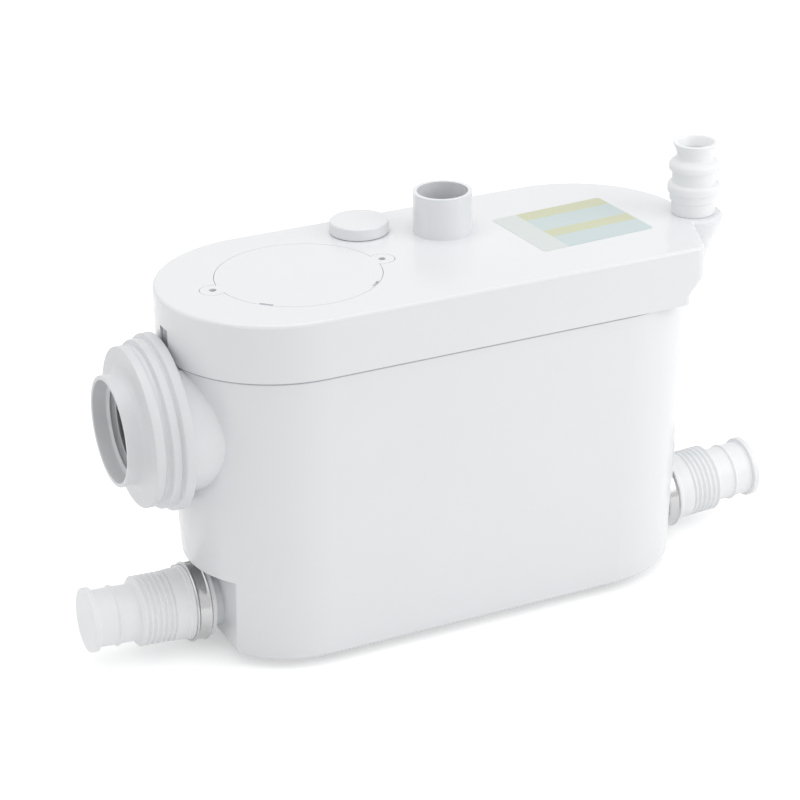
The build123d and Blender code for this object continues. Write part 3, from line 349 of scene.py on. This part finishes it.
# %% Finishes of the remaining nodes
natural_plastic = moulded("natural_plastic", (0.70, 0.70, 0.68), (0.66, 0.66, 0.64), 0.4)
black_rubber = rubber("black_rubber", (0.025, 0.025, 0.027), 0.5)
cast = metal("cast_aluminium", (0.56, 0.57, 0.58), 0.42, (1, 1, 1), 0.0025)
grey_plastic = moulded("grey_plastic", (0.20, 0.21, 0.225), (0.18, 0.185, 0.2), 0.4)
black_plastic = moulded("black_plastic", (0.02, 0.02, 0.022), (0.03, 0.03, 0.032), 0.35)
charcoal = rubber("charcoal", (0.015, 0.015, 0.015), 0.8)
wire = metal("copper_wire", (0.62, 0.26, 0.12), 0.3, (1, 1, 12), 0.004)
laminated = metal("laminated_steel", (0.30, 0.30, 0.31), 0.45, (0.2, 0.2, 6), 0.003)

dress("rubber_feet lid_gasket service_cover_seal left_valve_flap right_valve_flap "
      "discharge_valve_flap discharge_hose diaphragm", black_rubber)
dress("toilet_connector left_waste_connector right_waste_connector discharge_connector",
      white_rubber)
dress("service_cover_screws clamp_bands clamp_housings clamp_screws hose_clips tie_rods "
      "tie_rod_nuts tie_rod_sleeves motor_screws shaft spacer impeller_nut cutter "
      "electrics_box_screws plunger_spring motor_bearings", steel)
dress("carbon_filter", charcoal)
dress("left_valve_seat right_valve_seat discharge_valve_seat valve_base valve_chamber pump_cover "
      "pump_base electrics_box pressure_tube diaphragm_cover plunger impeller", grey_plastic)
dress("basket", natural_plastic)
dress("motor_bottom_bell motor_can motor_top_bell", cast)
dress("stator_windings", wire)
dress("stator_core rotor_core", laminated)
dress("shaft_seal seal_rotor capacitor microswitch microswitch_button terminal_block cable_gland "
      "cable_gland_nut", black_plastic)
print("bare nodes", [name for name, node in nodes.items() if not node.data.materials])

# %% [markdown]
# ## Toilet connector
# A soft white cuff pulled over the tank's spigot. Three rings stiffen it and the narrower mouth
# takes the pan's outlet, with two lips inside that wipe the pipe. Its outline is turned round
# the spigot's axis, with soft edges of about a millimetre.

# %% Toilet connector
CUFF_START = (-204.2, 0, 175)
cuff_outline = ((62.6, 0), (62.6, 6.8), (59.0, 7.8), (59.0, 8.8), (59.6, 9.3), (59.6, 14.8),
                (55.5, 15.8), (55.5, 18.8), (56.8, 19.8), (56.8, 26.2), (45.0, 26.4),
                (41.5, 27.6), (39.7, 30.4), (39.25, 33.0), (39.25, 40.6), (36.25, 40.6),
                (36.25, 29.8), (33.2, 29.0), (33.2, 28.2), (36.25, 27.4), (36.25, 25.2),
                (33.2, 24.4), (33.2, 23.6), (36.25, 22.8), (36.25, 21.8), (52.05, 21.8),
                (52.05, 0))
cuff = turned("toilet_cuff", rounded(cuff_outline, 0.8), CUFF_START, (-1, 0, 0), 160)
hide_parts("toilet_connector")
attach(cuff, "housing")
paint(cuff, cuff_rubber)

# %% [markdown]
# ## Low waste connectors
# Stepped sleeves, one at each end, that point out and a little up from a flat on the tank. The
# closed tip is cut off when a pipe is joined. A bead, a ridge and six ribs grip a pipe's clip,
# and the wide end is clamped on the tank's spigot.

# %% Places along a low inlet
SIDES = (("left", -1), ("right", 1))
TILT = math.radians(3)
FLAT_OUT, FLAT_UP = 176.0, 28.5  # the flat's distance from the tank's middle, and its height
TIP_REACH, CLAMP_REACH = 96.2, 16.5  # how far out from the flat the tip and the clamp are


def outward(side):
    """Unit vector out along a low inlet: (side cos t, 0, sin t)."""
    return np.array((side * math.cos(TILT), 0, math.sin(TILT)))


def on_inlet(side, reach):
    """Point on a low inlet's axis, a reach out from the tank's flat."""
    return np.array((side * FLAT_OUT, 0, FLAT_UP)) + reach * outward(side)


print("tip of the right inlet", on_inlet(1, TIP_REACH))

# %% Low waste connectors
RIBS, FIRST_RIB, RIB_PITCH = 6, 35.6, 4.1


def sleeve_outline():
    """Outline from the closed tip over the ribs to the clamped end, and back inside.

    Rib k has its four corners at FIRST_RIB + RIB_PITCH (k + j / 4), for j from 0 to 3.
    """
    quarters = np.arange(4 * RIBS) / 4
    ribs = list(zip(np.tile((23.7, 25.5, 25.5, 23.7), RIBS), FIRST_RIB + RIB_PITCH * quarters))
    tip = [(0.01, 0), (23.2, 0), (23.2, 4.6), (20.6, 4.6), (20.6, 18.6), (22.0, 19.2),
           (22.0, 20.6), (20.6, 21.2), (20.6, 34.4), (23.6, 35.2)]
    tail = [(25.7, 60.2), (25.7, 70.0), (26.5, 70.8), (26.5, 72.8), (27.2, 73.6), (27.2, 89.0),
            (21.05, 89.0), (21.05, 40.5), (17.0, 36.5), (17.0, 4.0), (0.01, 4.0)]
    return rounded(tip + ribs + tail, 0.6)


for name, side in SIDES:
    tip_place = on_inlet(side, TIP_REACH)
    sleeve = turned(name + "_waste_sleeve", sleeve_outline(), tip_place, -outward(side))
    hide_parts(name + "_waste_connector")
    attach(sleeve, "housing")
    paint(sleeve, white_rubber)

# %% [markdown]
# ## Hose clamps
# A stainless band holds each sleeve on its spigot. Its two edges are rolled up, so that they
# don't cut the rubber. Slots for the worm are pressed into the stretch beside the worm's housing.

# %% Outer face of a clamp band
BAND_INNER, BAND_OUTER = 27.25, 28.25  # radii
BAND_HALF, EDGE_HALF, SLOT_HALF = 5.75, 3.2, 2.6  # half widths: band, plain middle, slots
ROLL_HEIGHT, ROLL_MIDDLE, ROLL_SPREAD = 1.1, 4.7, 0.75
SLOT_DEPTH, SLOTS_ROUND, SLOT_LEAN = 0.4, 90, 0.35
FIRST_SLOT, LAST_SLOT = 20, 80  # degrees round the band from the worm's side


def band_outer(angle, width):
    """Outer radius 28.25 + 1.1 exp(-((|w| - 4.7) / 0.75)^2) - 0.4 slot, at angle a and width w.

    Slot is 1 / (1 + exp(-20 sin(90 a + 0.35 w) - 2)) in the band's middle, from 20 to 80
    degrees round, and 0 elsewhere.
    """
    rolled = ROLL_HEIGHT * np.exp(-((np.abs(width) - ROLL_MIDDLE) / ROLL_SPREAD) ** 2)
    wave = np.sin(angle * SLOTS_ROUND + width * SLOT_LEAN)
    slot = 1 / (1 + np.exp(-20 * wave - 2))
    degrees = np.degrees(angle)
    slotted = (degrees > FIRST_SLOT) & (degrees < LAST_SLOT) & (np.abs(width) < SLOT_HALF)
    return BAND_OUTER + rolled - SLOT_DEPTH * slot * slotted


print("band radius at its edge and its middle", band_outer(np.zeros(2), np.array((BAND_HALF, 0))))

# %% Hose clamp bands
def band_points():
    """Grid of (radius cos a, radius sin a, w) that runs over the band's outside and back inside."""
    angle = np.linspace(0, 2 * math.pi, 900, endpoint=False)[:, None]
    edge = np.linspace(EDGE_HALF, BAND_HALF, 12)
    width = np.concatenate((-edge[::-1], np.linspace(-2.8, 2.8, 9), edge))[None, :]
    inside = np.full((len(angle), 2), BAND_INNER)
    radius = np.concatenate((band_outer(angle, width), inside), 1)
    across = np.concatenate((width, ((BAND_HALF, -BAND_HALF),)), 1) + 0 * angle
    return np.stack((radius * np.cos(angle), radius * np.sin(angle), across), -1)


for name, side in SIDES:
    rows = axes(outward(side)) * np.array((1, side, 1))[:, None]
    points = band_points() @ rows + TANK + on_inlet(side, CLAMP_REACH)
    band = piece(name + "_clamp_band", points, quads(*points.shape[:2]))
    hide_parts("clamp_bands")
    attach(band, "housing")
    paint(band, steel)

# %% [markdown]
# ## Discharge connector
# An upright rubber sleeve of steps, so that it fits pipes of more than one size. Its mouth
# flares a little where the pipe goes in.

# %% Discharge connector
SPOUT_AXIS = (204.3, -20, 0)
spout_outline = ((14.0, 258.0), (14.0, 265.0), (16.0, 265.0), (16.0, 274.6), (17.5, 275.4),
                 (17.5, 281.0), (19.2, 281.6), (19.2, 286.5), (18.4, 288.0), (16.0, 288.6),
                 (16.0, 297.6), (18.4, 298.4), (18.4, 302.6), (17.0, 304.6), (14.0, 306.4),
                 (13.2, 307.6), (13.2, 311.7), (16.2, 318.4), (15.8, 319.0), (13.6, 319.0),
                 (10.0, 311.7), (10.0, 258.0))
spout = turned("discharge_spout", rounded(spout_outline, 0.9), SPOUT_AXIS, (0, 0, 1))
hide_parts("discharge_connector")
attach(spout, "housing")
paint(spout, white_rubber)

# %% [markdown]
# ## Return spring
# A steel coil over the level switch's plunger presses it back down. It shortens as the water
# lifts the plunger. It is made here as one tube along a helix.

# %% Points and faces of a coil
COIL_RADIUS, WIRE_RADIUS, TURNS = 7.0, 0.8, 5


def coil_points(low, high, steps=240, sides=12):
    """Tube round C by wire w at angle b: C + w (cos b N + sin b B).

    C at angle a is (r cos a, r sin a, low + a rise). N points to the coil's axis and B = T x N,
    where T is the helix's direction.
    """
    angle = np.linspace(0, 2 * math.pi * TURNS, steps)
    cosine, sine, flat = np.cos(angle), np.sin(angle), np.zeros(steps)
    rise = (high - low) / (2 * math.pi * TURNS)
    centre = np.stack((COIL_RADIUS * cosine, COIL_RADIUS * sine, low + angle * rise), -1)
    tangent = np.stack((-COIL_RADIUS * sine, COIL_RADIUS * cosine, flat + rise), -1)
    tangent = tangent / np.linalg.norm(tangent, axis=1, keepdims=True)
    inward = np.stack((-cosine, -sine, flat), -1)
    binormal = np.cross(tangent, inward)
    turn = np.linspace(0, 2 * math.pi, sides, endpoint=False)[None, :, None]
    round_wire = np.cos(turn) * inward[:, None] + np.sin(turn) * binormal[:, None]
    return centre[:, None] + WIRE_RADIUS * round_wire


def tube_faces(steps, sides):
    """Faces along the tube and a fan of quads on each end."""
    fan = np.arange(1, sides - 1, 2)[:, None]
    end = np.concatenate((0 * fan, fan, fan + 1, fan + 2), 1)
    other_end = end + (steps - 1) * sides
    return np.concatenate((quads(steps, sides, round_rows=False), end[:, ::-1], other_end))


print("a coil's grid", coil_points(0, 10).shape)

# %% Return spring
SPRING_AXIS = (0.109, 0.026)  # metres
solid = np.array([vertex.co for vertex in nodes["plunger_spring"].data.vertices]) / MM
spring_low, spring_high = (float(end) for end in (solid[:, 2].min(), solid[:, 2].max()))
coil = coil_points(spring_low + WIRE_RADIUS, spring_high - WIRE_RADIUS)
spring_points = coil + np.array((*SPRING_AXIS, 0)) / MM
spring = piece("return_spring", spring_points, tube_faces(*coil.shape[:2]))
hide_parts("plunger_spring")
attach(spring, "housing")
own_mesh(spring)
paint(spring, steel)
print("spring from", spring_low, "to", spring_high)

# %% [markdown]
# ## Blank sticker
# The lid carries a sticker, put on by hand and so a little askew. Only its place, its pale bands
# and the plain field at its left end are made, with nothing written on it. It is a thin rounded
# sheet: rings that shrink towards the middle.

# %% Sheet of the sticker
STICKER_MIDDLE = np.array((113.6, -2.3))
STICKER_HALF = np.array((46.0, 37.0))
STICKER_CORNER = 3
STICKER_BOTTOM, STICKER_TOP = 265.02, 265.17
ASKEW = math.radians(3.5)


def sheet_points(steps=12):
    """Rounded rectangle in rings, turned by a: (x cos a - y sin a, x sin a + y cos a)."""
    quarter = np.linspace(0, math.pi / 2, steps)[None, :]
    angle = (quarter + (np.arange(4) * math.pi / 2)[:, None]).ravel()
    signs = np.repeat(np.array(((1, 1), (-1, 1), (-1, -1), (1, -1))), steps, 0)
    arcs = STICKER_CORNER * np.stack((np.cos(angle), np.sin(angle)), -1)
    edge = signs * (STICKER_HALF - STICKER_CORNER) + arcs
    turn = np.array(((math.cos(ASKEW), math.sin(ASKEW)), (-math.sin(ASKEW), math.cos(ASKEW))))
    shares = np.array((1, 1, 0.97, 0.01, 0.01))[:, None, None]
    heights = np.array((STICKER_BOTTOM, STICKER_TOP, STICKER_TOP, STICKER_TOP, STICKER_BOTTOM))
    flat = shares * (edge @ turn)[None] + STICKER_MIDDLE
    return np.concatenate((flat, heights[:, None, None] + 0 * flat[..., :1]), -1)


sticker_points = sheet_points()
sticker = piece("blank_sticker", sticker_points + TANK, quads(*sticker_points.shape[:2]))
flat_shaded = np.zeros(len(sticker.data.polygons), bool)
sticker.data.polygons.foreach_set("use_smooth", flat_shaded)

# %% [markdown]
# ## The sticker's bands
# Two distances from the sticker's middle, along it and back from its front edge, are plain sums of
# the place on the lid. A ramp with hard edges turns the second into bands, and the first masks
# them off where the plain field begins.

# %% Bands of the sticker
YELLOW, BLUE_GREY, PALE_FIELD = (0.60, 0.62, 0.42), (0.56, 0.655, 0.66), (0.67, 0.715, 0.70)
FIELD_ENDS = -0.56  # as a share of the sticker's half length
label = Finish("sticker_print", (0.60, 0.67, 0.67), 0.35, coat=0.2)
middle = (STICKER_MIDDLE + TANK[:2]) * MM
x, y = (label.add("ShaderNodeSeparateXYZ", {}, {"Vector": label.place()}, axis) - float(place)
        for axis, place in zip("XY", middle))
along = x * math.cos(ASKEW) + y * math.sin(ASKEW)
back = y * math.cos(ASKEW) - x * math.sin(ASKEW)
stops = [(0.0, BLUE_GREY), (0.30, YELLOW), (0.48, BLUE_GREY), (0.80, YELLOW)]
from_front = back * float(0.5 / STICKER_HALF[1] / MM) + 0.5
bands = label.add("ShaderNodeValToRGB", {"stops": stops}, {"Fac": from_front})
field_end = FIELD_ENDS * float(STICKER_HALF[0]) * MM
banded = label.add("ShaderNodeMath", {"operation": "GREATER_THAN"}, {0: along, 1: field_end})
label.set("Base Color", label.mix(banded, PALE_FIELD, bands))
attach(sticker, "housing")
paint(sticker, label)
print("sticker's middle", middle, "plain field ends", field_end)

# %% [markdown]
# ## Studio floor and sky
# The background is white where the camera looks at it, and where a reflection or a view through
# something clear does. The light itself comes from a sky that is brightest above the front, kept
# lower than white, so that the white housing doesn't wash out.

# %% Studio floor
scene.view_settings.view_transform = "Standard"
FLOOR_HALF, FLOOR_DROP = 8, 0.0005  # metres


def background_rays(tree):
    """1 where the camera, a reflection or a view through glass meets the background, else 0."""
    seen = tree.add("ShaderNodeLightPath", output="Is Camera Ray")
    for kind in ("Is Glossy Ray", "Is Transmission Ray"):
        ray = tree.add("ShaderNodeLightPath", output=kind)
        seen = tree.add("ShaderNodeMath", {"operation": "MAXIMUM"}, {0: seen, 1: ray})
    return seen


def white_floor():
    """Square just under the object, lifted to white by a glow that only seen rays meet."""
    sides = ((-1, -1), (1, -1), (1, 1), (-1, 1))
    corners = [(x * FLOOR_HALF, y * FLOOR_HALF, -FLOOR_DROP) for x, y in sides]
    mesh = bpy.data.meshes.new("studio_floor")
    mesh.from_pydata(corners, [], [(0, 1, 2, 3)])
    floor = bpy.data.objects.new("studio_floor", mesh)
    scene.collection.objects.link(floor)
    finish = Finish("floor_white", (0.93, 0.93, 0.93), 0.9)
    finish.set("Emission Color", background_rays(finish) * 0.36)
    finish.set("Emission Strength", 1.0)
    mesh.materials.append(finish.material)
    print("floor is", 2 * FLOOR_HALF, "metres wide")


white_floor()

# %% Sky
def sky(brightest, shares):
    """Light grows between the shares with d . b, for view direction d and brightest direction b."""
    world = bpy.data.worlds.new("studio_sky")
    world.use_nodes = True
    tree = Nodes(world.node_tree)
    direction = tree.add("ShaderNodeTexCoord", output="Generated")
    toward = tree.add("ShaderNodeVectorMath", {"operation": "DOT_PRODUCT"},
                      {0: direction, 1: Vector(brightest).normalized()}, "Value")
    share = tree.add("ShaderNodeMapRange", {"interpolation_type": "SMOOTHSTEP"},
                     {"Value": toward, "From Min": -0.9, "From Max": 0.9,
                      "To Min": shares[0], "To Max": shares[1]})
    light = tree.add("ShaderNodeBackground", {}, {"Color": share, "Strength": 1.0})
    white = tree.add("ShaderNodeBackground", {}, {"Color": (1, 1, 1, 1), "Strength": 1.0})
    both = {0: background_rays(tree), 1: light, 2: white}
    tree.add("ShaderNodeOutputWorld", {}, {"Surface": tree.add("ShaderNodeMixShader", {}, both)})
    scene.world = world
    print("sky nodes", len(world.node_tree.nodes))


sky(brightest=(0.05, -0.45, 0.9), shares=(0.25, 0.73))

# %% [markdown]
# ## Lamps and camera
# A broad lamp close by at the right, a soft one overhead and a weak one at the left leave the
# toilet end in soft shade. The camera stands where the photograph was taken from, with a long
# lens and a slight roll.

# %% Lamps
def lamp(name, place, target, size, power):
    """Square lamp of a size in metres and a power in watts that faces its target."""
    data = bpy.data.lights.new(name, "AREA")
    data.shape = "SQUARE"
    data.size = size
    data.energy = power
    made = bpy.data.objects.new(name, data)
    made.location = place
    facing = Vector(target) - Vector(place)
    made.rotation_euler = facing.to_track_quat("-Z", "Y").to_euler()
    scene.collection.objects.link(made)
    print(name, "is", round(facing.length, 2), "metres from its target")


lamp("broad_lamp", place=(1.0, -0.8, 0.75), target=(0.05, 0, 0.15), size=0.9, power=5)
lamp("overhead_lamp", place=(-0.1, 0.1, 1.8), target=(0, 0, 0.2), size=1.4, power=8.2)
lamp("left_lamp", place=(-1.5, 0.25, 0.7), target=(-0.2, 0, 0.1), size=1.0, power=1.5)

# %% Camera
SENSOR = 36  # millimetres, the width of the film that the lens is given for


def camera(azimuth, elevation, roll, distance, target, focal_share):
    """Camera at target + distance b, where b = (sin a cos e, -cos a cos e, sin e).

    At azimuth a = 0 it looks along +Y. The lens is focal_share times as long as the film is wide.
    """
    a, e, r = (math.radians(value) for value in (azimuth, elevation, roll))
    back = Vector((math.sin(a) * math.cos(e), -math.cos(a) * math.cos(e), math.sin(e)))
    right = (-back).cross(Vector((0, 0, 1))).normalized()
    up = right.cross(-back)
    rolled_right = right * math.cos(r) + up * math.sin(r)
    rolled_up = up * math.cos(r) - right * math.sin(r)
    data = bpy.data.cameras.new("photo_camera")
    data.sensor_width = SENSOR
    data.lens = focal_share * SENSOR
    made = bpy.data.objects.new("photo_camera", data)
    basis = Matrix((rolled_right, rolled_up, back)).transposed().to_4x4()
    basis.translation = Vector(target) + back * distance
    made.matrix_world = basis
    scene.collection.objects.link(made)
    scene.camera = made
    print("camera at", [round(value, 3) for value in basis.translation])


camera(azimuth=-24.5, elevation=24.75, roll=-1.1, distance=1.76,
       target=(-0.0252, -0.005, 0.1568), focal_share=2434 / 800)
